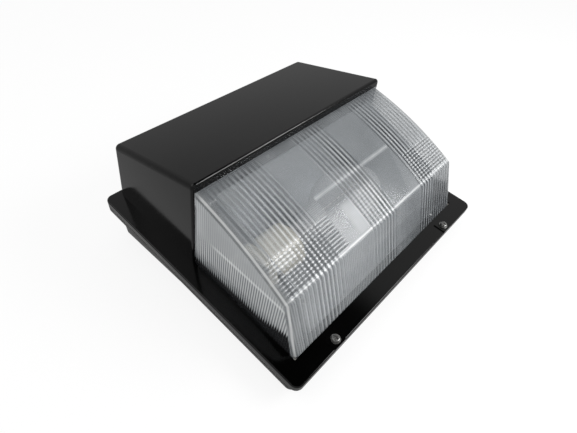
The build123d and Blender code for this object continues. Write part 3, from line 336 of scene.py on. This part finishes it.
# millimetres and degrees in the seal plane's axes; a place such as creaseAt is a run down from the ridge
lens = {
    "halfLength": 177.2, "sideDraft": 4.3, "corner": 8.0, "wall": 3.0,
    "ridgeY": 14.7, "ridgeZ": 130.0, "flange": 10.0, "foot": 3.3,
    "crownCentre": (82.757, -325.662), "crownRadius": 460.67, "crownStart": 98.46,
    "crease": (-131.6, 82.1), "creaseRound": 6.0, "frontY": -158.0,
    "tongueBack": 25.0, "tongueHalf": 175.1, "tongueDraft": 3.4, "tongueCorner": 2.0,
    # ribGlint and prismGlint: strengths of the painted shade and painted highlight in the grooves
    "ribPitch": 6.6, "ribDepth": 0.75, "ribGlint": (1.1, 0.62),
    "prismPitch": 4.3, "prismDepth": 0.55, "prismStart": 103.0, "prismGlint": (0.66, 0.46),
    # from, to, fading over, share
    "prismGroups": ((-168.0, -62.0, 6.0, 1.0), (96.0, 171.0, 6.0, 1.0), (-22.0, 28.0, 5.0, 0.30)),
    # from, to, a valley, and the stretch where the painted light and shade on the ribs is strongest
    "ribGroups": ((-164.0, -79.0, -112.0, -136.0, -88.0), (-24.5, 30.5, 14.2, -2.0, 31.0),
                  (87.5, 169.0, 103.7, 86.0, 122.0)),
    # foldLineAt, panelAt, panelEnd, zones, window and windowLine place the painted light and shade of the
    # panes
    "creaseAt": 150.5, "foldLineAt": 82.0, "panelAt": 104.0, "panelEnd": 149.0, "zones": (-62.0, 28.0, 90.0),
    "window": (-160.0, -123.0, 107.0, 121.5), "windowLine": 123.5,
    "lip": 8.0, "lipTop": 5.8, "lipBack": 11.0,
    "cornerTurn": 14.0,
    "faceColumns": 420, "cornerSteps": 6, "wallSteps": 9,
    "crownRows": 27, "rowsPerPrism": 6, "bendRows": 7, "frontRows": 22,
}


def arcRows(centre, radius, angle):
    # centre + radius (cos a, sin a), with the normal (cos a, sin a)
    c, s = np.cos(angle), np.sin(angle)
    return np.stack((centre[0] + radius * c, centre[1] + radius * s, c, s), 1)


def lensProfile():
    # rows down the middle as y', z' and the outward normal, and the run s along them, 0 at the ridge: tongue,
    # crown arc, crease round, straight front, foot
    d = lens
    rows = [(d["tongueBack"], d["ridgeZ"], 0.0, 1.0), (d["ridgeY"] + 0.3, d["ridgeZ"], 0.0, 1.0)]
    cy, cz = d["crownCentre"]
    footPoint = np.array([d["frontY"], d["flange"]])
    frontDir = footPoint - np.array(d["crease"])
    frontDir /= np.hypot(*frontDir)
    frontNormal = np.array([frontDir[1], -frontDir[0]])
    r, crownRadius = d["creaseRound"], d["crownRadius"]
    along = footPoint - frontNormal * r - np.array([cy, cz])     # the round's centre is r inside both faces
    b = along @ frontDir
    step = -b - np.sqrt(b * b - along @ along + (crownRadius - r) ** 2)
    centre = footPoint - frontNormal * r + frontDir * step
    startAngle = radians(d["crownStart"])
    endAngle = np.arctan2(centre[1] - cz, centre[0] - cy)
    run = crownRadius * (endAngle - startAngle)
    s = np.concatenate((np.linspace(0.0, d["prismStart"] - 1.0, d["crownRows"]),
                        np.arange(d["prismStart"], run, d["prismPitch"] / d["rowsPerPrism"])))
    crown = arcRows((cy, cz), crownRadius, startAngle + s / crownRadius)
    bendEnd = np.arctan2(frontNormal[1], frontNormal[0])
    bend = arcRows(centre, r, np.linspace(endAngle, bendEnd, d["bendRows"])[1:])
    t = np.linspace(0.0, 1.0, d["frontRows"])[1:, None]
    line = bend[-1, :2] * (1 - t) + footPoint * t
    lean = frontNormal * (1 - t) + np.array([-1.0, 0.0]) * t
    front = np.hstack((line, lean / np.linalg.norm(lean, axis=1, keepdims=True)))
    foot = np.array([(d["frontY"], z, -1.0, 0.0) for z in (8.0, 5.6, d["foot"])])
    table = np.vstack((np.array(rows), crown, bend, front, foot))
    length = np.concatenate(([0.0], np.cumsum(np.hypot(*np.diff(table[:, :2], axis=0).T))))
    return table, length - length[len(rows)]


def ease(value):
    # smoothstep: 0 below 0, 1 above 1, 3v^2 - 2v^3 between
    v = np.clip(value, 0, 1)
    return v * v * (3 - 2 * v)


def within(value, low, high, soft):
    # 1 between low and high, easing to 0 at both over the distance soft
    return ease((value - low) / soft) * ease((high - value) / soft)


def hump(value, at, width):
    # exp(-((v - at) / width)^2)
    return np.exp(-((value - at) / width) ** 2)


def valley(value, pitch):
    # 0 on a rib's back, rising sharply to 1 in the groove between two: (1 - |sin(pi v / pitch)|) squared
    return (1.0 - np.abs(np.sin(pi * value / pitch))) ** 2


def glint(value, pitch, dark, bright):
    # painted shade and painted highlight standing in for what a groove shows: c = cos(2 pi v / pitch) is 1 in
    # the groove; painted dark where c is high, painted bright where low
    c = np.cos(2 * pi * value / pitch)
    return bright * ease((-c - 0.30) / 0.6) - dark * ease((c - 0.05) / 0.75)


def lensSkin(inset):
    # each row is a cross-section: left wall up, round corner, ribbed face, round corner, right wall down
    d = lens
    table, s = lensProfile()
    y, z, ny, nz = table.T
    tongue = s < -0.01
    sideSlope, tongueSlope = tan(radians(d["sideDraft"])), tan(radians(d["tongueDraft"]))
    slope = np.where(tongue, tongueSlope, sideSlope)
    half = np.where(tongue, d["tongueHalf"], d["halfLength"]) - np.maximum(z - d["flange"], 0.0) * slope
    radius = np.where(tongue, d["tongueCorner"], d["corner"])
    blend = np.clip(s / d["cornerTurn"], 0, 1)          # the corner's plane starts square to the ridge
    cornerY, cornerZ = ny * blend, 1 - blend + nz * blend
    size = np.hypot(cornerY, cornerZ)
    cornerY, cornerZ = cornerY / size, cornerZ / size
    bottom = d["foot"]
    y, z = y - ny * inset, np.maximum(z - nz * inset, bottom)
    half, radius = half - inset, np.maximum(radius - inset, 0.5)
    oy, oz = y - radius * cornerY, np.maximum(z - radius * cornerZ, bottom)
    reachX = half - radius
    faceX = reachX[:, None] * np.linspace(-1, 1, d["faceColumns"])
    faceY, faceZ = (np.broadcast_to(v[:, None], faceX.shape) for v in (y, z))
    angle = np.linspace(0, pi / 2, d["cornerSteps"] + 1)[1:]
    round_ = radius[:, None] * np.cos(angle)
    cornerX = reachX[:, None] + radius[:, None] * np.sin(angle)
    cornerYs = oy[:, None] + round_ * cornerY[:, None]
    cornerZs = np.maximum(oz[:, None] + round_ * cornerZ[:, None], bottom)
    drop = np.linspace(0, 1, d["wallSteps"] + 1)[1:]
    wallZ = oz[:, None] * (1 - drop) + bottom * drop
    fall = np.maximum(oz, d["flange"])[:, None] - np.maximum(wallZ, d["flange"])
    wallX = half[:, None] + fall * slope[:, None]
    wallY = np.broadcast_to(oy[:, None], wallZ.shape)
    pairs = ((cornerX, wallX), (cornerYs, wallY), (cornerZs, wallZ))
    right = np.stack([np.hstack(pair) for pair in pairs], -1)
    left = right[:, ::-1] * np.array([-1.0, 1.0, 1.0])
    points = np.concatenate((left, np.stack((faceX, faceY, faceZ), -1), right), 1)
    wallness = np.concatenate((np.linspace(0, 1, d["cornerSteps"] + 1)[1:], np.ones(d["wallSteps"])))
    wallness = np.concatenate((wallness[::-1], np.zeros(d["faceColumns"]), wallness))
    normal = np.zeros_like(points)
    normal[..., 1], normal[..., 2] = ny[:, None], nz[:, None]
    grid = points.shape[:2]
    return points, normal, np.broadcast_to(wallness, grid), np.broadcast_to(s[:, None], grid)


def lensPatterns(x, s, faceness):
    # ribs along s in three groups, prisms along x low on the crown: their depths, and the painted light and
    # shade (tone) they show
    d = lens
    rib = np.zeros_like(x)
    tone = np.zeros_like(x)
    onFront = ease((s - d["creaseAt"]) / 5.0)
    grow = 0.30 + 0.70 * ease((s - 8.0) / 62.0)
    for low, high, at, strongFrom, strongTo in d["ribGroups"]:
        mask = within(x, low, high, 2.0)
        strength = 0.38 + 0.62 * within(x, strongFrom, strongTo, 16.0)
        rib += mask * valley(x - at, d["ribPitch"])
        tone += mask * strength * grow * (1 - 0.55 * onFront) * glint(x - at, d["ribPitch"], *d["ribGlint"])
    onCrown = ease((s - d["prismStart"]) / 2.0) * ease((d["creaseAt"] - s) / 1.5)
    spread = onCrown * sum(share * within(x, low, high, soft) for low, high, soft, share in d["prismGroups"])
    prism = spread * valley(s - d["prismStart"], d["prismPitch"])
    tone += spread * glint(s - d["prismStart"], d["prismPitch"], *d["prismGlint"])
    start = np.clip((s - 2.0) / 8.0, 0, 1)
    # a painted highlight line along the crease
    crease = hump(s, d["creaseAt"], 1.3)
    # painted light and shade in the panes, standing in for the reflector and lampholder seen through the
    # glass:
    # a painted bright line across the crown where the reflector's fold shows, a painted dimmer band, a
    # painted dim facet and a painted brighter panel below it, and at the left a painted bright window over
    # the lampholder with a painted dark line under it
    left, middle, right = d["zones"]
    foldLineAt, panelAt, panelEnd = d["foldLineAt"], d["panelAt"], d["panelEnd"]
    step = 0.75 * hump(s, foldLineAt, 0.9) * within(x, left, right, 3.0)
    band = -0.20 * within(x, left, middle, 6.0) * within(s, foldLineAt + 2.0, panelAt, 4.0)
    facetEnd = right - (s - foldLineAt) * 0.35
    facet = -0.10 * within(x, middle, facetEnd, 5.0) * within(s, foldLineAt + 2.0, panelEnd, 3.0)
    panel = 0.24 * within(x, left + 18.0, middle, 9.0) * within(s, panelAt, panelEnd, 3.0)
    low, high, top, base = d["window"]
    window = 0.50 * within(s, top, base, 1.5) - 0.9 * hump(s, d["windowLine"], 1.1)
    window = window * within(x, low, high, 3.0)
    zone = (step + band + facet + panel + window) * (1 - onFront)
    return rib * start * faceness, prism * faceness, (tone * start + zone) * faceness, crease * faceness


def lensLip():
    # the hidden lip under the flange: a rectangle carried round the two sides and the front, as 16 rings of 4
    d = lens
    arc = np.linspace(pi, 1.5 * pi, 7)
    cx, cy = d["halfLength"] - d["corner"], d["frontY"] + d["corner"]
    pathX = np.concatenate(([-1.0], np.cos(arc), -np.cos(arc[::-1]), [1.0]))
    pathY = np.concatenate(([0.0], np.sin(arc), np.sin(arc[::-1]), [0.0]))
    baseX = np.repeat((-cx, cx), 8)
    baseY = np.concatenate(([d["lipBack"]], cy * np.ones(14), [d["lipBack"]]))
    rings = len(arc) * 2 + 2
    bars = []
    for grow, level in ((-d["wall"], d["foot"]), (d["lip"], d["foot"]), (d["lip"], d["lipTop"]),
                        (-d["wall"], d["lipTop"])):
        reach = d["corner"] + grow
        bars.append(np.stack((baseX + pathX * reach, baseY + pathY * reach, level * np.ones(rings)), 1))
    k = np.arange(rings - 1)[:, None] * 4 + np.arange(4)
    n = np.arange(rings - 1)[:, None] * 4 + (np.arange(4) + 1) % 4
    sides = np.stack((k, n, n + 4, k + 4), -1).reshape(-1, 4)[:, ::-1]
    last = rings * 4 - 1
    ends = np.array([[0, 1, 2, 3], [last, last - 1, last - 2, last - 3]])
    return np.stack(bars, 1).reshape(-1, 3), np.concatenate((sides, ends))


def buildLens(material):
    d = lens
    outer, normal, wallness, s = lensSkin(0.0)
    inner = lensSkin(d["wall"])[0]
    x, faceness = outer[..., 0], 1.0 - wallness
    rib, prism, tone, crease = lensPatterns(x, s, faceness)
    onFront = np.clip((s - d["creaseAt"] - 0.5) / 4.0, 0, 1)
    depth = rib * d["ribDepth"] * (1 - 0.5 * onFront) + prism * d["prismDepth"]
    outer = outer - normal * depth[..., None]
    rows, columns = outer.shape[:2]
    count = rows * columns
    ring = np.concatenate((np.arange(columns), np.arange(1, rows) * columns + columns - 1,
                           (rows - 1) * columns + np.arange(columns - 2, -1, -1),
                           np.arange(rows - 2, 0, -1) * columns))
    following = np.roll(ring, -1)
    rim = np.stack((ring, following, following + count, ring + count), 1)
    lipPoints, lipFaces = lensLip()
    points = np.concatenate((outer.reshape(-1, 3), inner.reshape(-1, 3), lipPoints))
    faces = np.concatenate((gridFaces(rows, columns, 0, True), gridFaces(rows, columns, count), rim,
                            lipFaces + 2 * count))
    pad = np.zeros(len(lipPoints))
    both = {"across": x, "down": s, "wallness": wallness, "seatY": outer[..., 1], "seatZ": outer[..., 2]}
    attributes = {key: np.concatenate((values.ravel(), values.ravel(), pad)) for key, values in both.items()}
    # tone and crease carry the painted light and shade, on the outer skin only
    for key, values in (("tone", tone), ("crease", crease)):
        attributes[key] = np.concatenate((values.ravel(), np.zeros(count), pad))
    attributes["inside"] = np.concatenate((np.zeros(count), np.ones(count), pad))
    return makeMesh("prismatic_lens", sealToWorld(points), faces, material, "cover",
                    attributes)


# body is the glass's colour; shade, bright, clear, edge and black are painted shade, painted highlight, the
# painted brighter band, the painted corner highlight and the painted reflection of the flange
glassLook = {
    "shade": (0.022, 0.025, 0.030), "body": (0.345, 0.368, 0.385), "bright": (0.84, 0.86, 0.87),
    "clear": (0.52, 0.53, 0.52), "edge": (0.80, 0.81, 0.81), "black": (0.002, 0.002, 0.003),
    "flutePitch": 3.5, "frontFlutePitch": 3.3, "finePitch": (2.2, 2.15), "wallReflectionAt": 71.5,
}


def makePrismGlass():
    # pressed clear glass. A painted tone runs from -1, painted shade where a groove shows the dark inside, to
    # +1, a painted highlight where a crest catches the light: ribs and prisms come as attributes, the flutes
    # and the walls' painted reflection band are made here
    d = glassLook
    f = Finish("prismaticGlass")
    across, down, wallness, seatY, seatZ = (
        f.attribute(name) for name in ("across", "down", "wallness", "seatY", "seatZ"))
    wall = wallness.ramp(0.75, 1.0)
    face = 1.0 - wall
    front = down.ramp(151.0, 155.0) * face
    pane = face * (1.0 - front)
    drift = f.noise(22.0, 3.0).ramp(0.25, 0.75)
    # the walls are fluted below their painted reflection band and beside the box, and nearly smooth between
    wallWave = seatY.wave(d["flutePitch"])
    flute = wallWave * wall * (seatZ.ramp(84.0, 66.0) * 0.80 + seatY.ramp(-20.0, 5.0) * 0.3 + 0.09)
    frontFlute = across.wave(d["frontFlutePitch"]) * front
    fine = (across.wave(d["finePitch"][0]) * 0.03 + down.wave(d["finePitch"][1]) * 0.05) * pane
    # a painted reflection: a bright band along the walls at wallReflectionAt, growing towards the front
    wallReflection = (1.0 - abs(seatZ - d["wallReflectionAt"]) * 0.28).math("MAXIMUM", 0.0) * wall * seatY.ramp(-8.0, -30.0)
    # the tone is painted light and shade: the flutes, front flutes and fine lines add painted light and dark
    # to it
    tone = f.attribute("tone") * (drift * 0.35 + 0.75)
    tone = tone + flute * 0.55 + frontFlute * 0.16 + fine + wallReflection * 0.75
    # painted light lifts the left of the front, the walls over their dark foot and the lower crown
    paintedLight = front * across.ramp(60.0, -60.0) * 0.20 + wall * seatZ.ramp(24.0, 44.0) * 0.50
    paintedLight = paintedLight + pane * down.ramp(70.0, 125.0) * 0.10
    # the crease attribute adds its painted highlight line; drift varies the tone at random
    tone = tone + f.attribute("crease") * 0.9 + (drift - 0.5) * 0.12 + paintedLight
    # painted shade dims the right of the front, the start of the crown and its right pane
    paintedShade = front * (across.ramp(-10.0, 140.0) * 0.62 * (seatZ.ramp(71.5, 39.5) * 0.5 + 0.5) + 0.05)
    paintedShade = paintedShade + down.ramp(24.0, 0.0) * 0.34 * (1.0 - front) + pane * across.ramp(84.0, 130.0) * 0.16
    colour = f.mix((tone * -1.0 + paintedShade).clip(), d["body"], d["shade"])
    colour = f.mix(tone.clip(), colour, d["bright"])
    # a painted brighter band near both ends of the panes, by the clear rounded corners
    band = abs(across).ramp(160.0, 166.0) * pane
    colour = f.mix(band * 0.25, colour, d["clear"])
    # a painted highlight along the rounded corners, fading in below the ridge
    cornerHighlight = wallness.ramp(0.34, 0.46) * (1.0 - wallness.ramp(0.56, 0.70))
    colour = f.mix(cornerHighlight * (down.ramp(-2.0, 12.0) * 0.75), colour, d["edge"])
    # a painted reflection: the foot of the walls shows the black flange as painted dark, in a zone that rises
    # towards the front
    shore = seatZ - seatY.ramp(-95.0, -150.0) * 15.0 + wallWave * 3.0
    black = shore.ramp(33.0, 21.0) * wall
    colour = f.mix(black * 0.96, colour, d["black"])
    inside = f.attribute("inside")
    # the painted light and shade also set how much of the inside shows through
    alpha = (tone * 0.16 + 0.46 + cornerHighlight * 0.3 + paintedShade * 0.3 + wall * 0.12) * (1.0 - inside * 0.8)
    alpha = (alpha + black * (1.0 - inside)).math("MINIMUM", 1.0)
    return f.surface(Base_Color=colour, Roughness=drift * 0.05 + pane * 0.07 + 0.08, IOR=1.5, Alpha=alpha,
                     Normal=f.bump(flute * 1.2 + frontFlute * 0.8, 0.4, 0.0004))


prismLens = buildLens(makePrismGlass())
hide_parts("refractor")
print("lens built", len(prismLens.data.polygons), "faces")

# ---- studio

# floor is a reflectance, floorMix how far camera and mirror rays see the glowing floor instead, and panelFrom
# and ceilingFrom are places in the sky as the sine of the elevation; the rest are strengths of light
studio = {"floor": 0.9, "floorSeen": 1.03, "floorMix": (0.82, 0.96), "worldLevel": 0.66,
          "mirrorLevel": 0.42, "panelLevel": 0.62, "panelFrom": (0.36, 0.66), "ceilingFrom": (0.825, 0.855),
          "key": 5.0, "front": 9.0}
white = {"Color": (1.0, 1.0, 1.0)}


def makeFloor():
    # pale floor: camera and glass rays see it white and mirror rays dimmer; its diffuse part keeps the shadow
    f = Finish("studioFloor")
    bright = f.node("Emission", {}, {**white, "Strength": studio["floorSeen"]})
    pale = f.node("Emission", {}, {**white, "Strength": studio["mirrorLevel"]})
    matt = f.node("BsdfDiffuse", {}, {"Color": (studio["floor"],) * 3})
    camera, glossy, through = f.rays()
    seenShare, mirroredShare = studio["floorMix"]
    factor = (camera + through).math("MINIMUM", 1.0) * seenShare + glossy * mirroredShare
    f.finish(f.blend(factor.math("MINIMUM", 1.0), matt, f.blend(glossy, bright, pale)))
    mesh = bpy.data.meshes.new("studioFloor")
    mesh.from_pydata([(-6, -6, 0), (6, -6, 0), (6, 6, 0), (-6, 6, 0)], [], [(0, 1, 2, 3)])
    mesh.materials.append(f.material)
    floor = bpy.data.objects.new("studioFloor", mesh)
    floor.location.z = -0.0005
    bpy.context.scene.collection.objects.link(floor)


def makeWorld():
    # even light all round and white to the camera; mirror rays see a grey horizon, brighter panels above it
    # and a black ceiling from about 57 degrees up
    world = bpy.data.worlds.new("studioWorld")
    bpy.context.scene.world = world
    f = Finish("studioWorld", world)
    soft = f.node("Background", {}, {**white, "Strength": studio["worldLevel"]})
    seen = f.node("Background", {}, {**white, "Strength": 1.0})
    horizon = f.node("Background", {}, {**white, "Strength": studio["mirrorLevel"]})
    panels = f.node("Background", {}, {**white, "Strength": studio["panelLevel"]})
    ceiling = f.node("Background", {}, {**white, "Strength": 0.0})
    height = f.node("SeparateXYZ", {}, {0: f.node("TexCoord", {}, {}, "Generated")}, "Z")
    camera, glossy, through = f.rays()
    walls = f.blend(height.ramp(*studio["panelFrom"]), horizon, panels)
    room = f.blend(height.ramp(*studio["ceilingFrom"]), walls, ceiling)
    mirrored = f.blend(glossy, soft, room)
    f.finish(f.blend((camera + through).math("MINIMUM", 1.0), mirrored, seen))


def makeLamp(name, place, target, size, power):
    light = bpy.data.lights.new(name, "AREA")
    light.shape = "RECTANGLE"
    light.size, light.size_y = size
    light.energy = power
    lamp = bpy.data.objects.new(name, light)
    lamp.location = place
    lamp.rotation_euler = (Vector(target) - Vector(place)).to_track_quat("-Z", "Y").to_euler()
    bpy.context.scene.collection.objects.link(lamp)


makeFloor()
makeWorld()
makeLamp("keySoftbox", (-0.9, 0.6, 1.5), (0.0, 0.0, 0.06), (1.2, 1.2), studio["key"])
makeLamp("frontSoftbox", (0.58, -0.80, 0.84), (-0.05, 0.0, 0.12), (0.62, 0.42), studio["front"])

# ---- camera, fitted to the photograph's corners

# degrees and metres; focal and width are in pixels of the photograph
view = {"azimuth": 48.36, "elevation": 44.74, "roll": 1.94, "target": (0.0057, 0.0212, 0.0),
        "distance": 0.6643, "focal": 418.70, "width": 577.0}


def makeCamera():
    az, el, roll = (radians(view[key]) for key in ("azimuth", "elevation", "roll"))
    forward = Vector((sin(az) * cos(el), cos(az) * cos(el), -sin(el)))
    right0 = Vector((cos(az), -sin(az), 0.0))
    up0 = right0.cross(forward)
    right = right0 * cos(roll) + up0 * sin(roll)
    up = up0 * cos(roll) - right0 * sin(roll)
    data = bpy.data.cameras.new("photoView")
    data.sensor_fit = "HORIZONTAL"
    data.sensor_width = 36.0
    data.lens = view["focal"] * data.sensor_width / view["width"]
    data.clip_start = 0.01
    camera = bpy.data.objects.new("photoView", data)
    bpy.context.scene.collection.objects.link(camera)
    turned = Matrix((right, up, -forward)).transposed().to_4x4()
    camera.matrix_world = Matrix.Translation(Vector(view["target"]) - forward * view["distance"]) @ turned
    bpy.context.scene.camera = camera


makeCamera()
bpy.context.scene.view_settings.view_transform = "Standard"
print("studio ready")
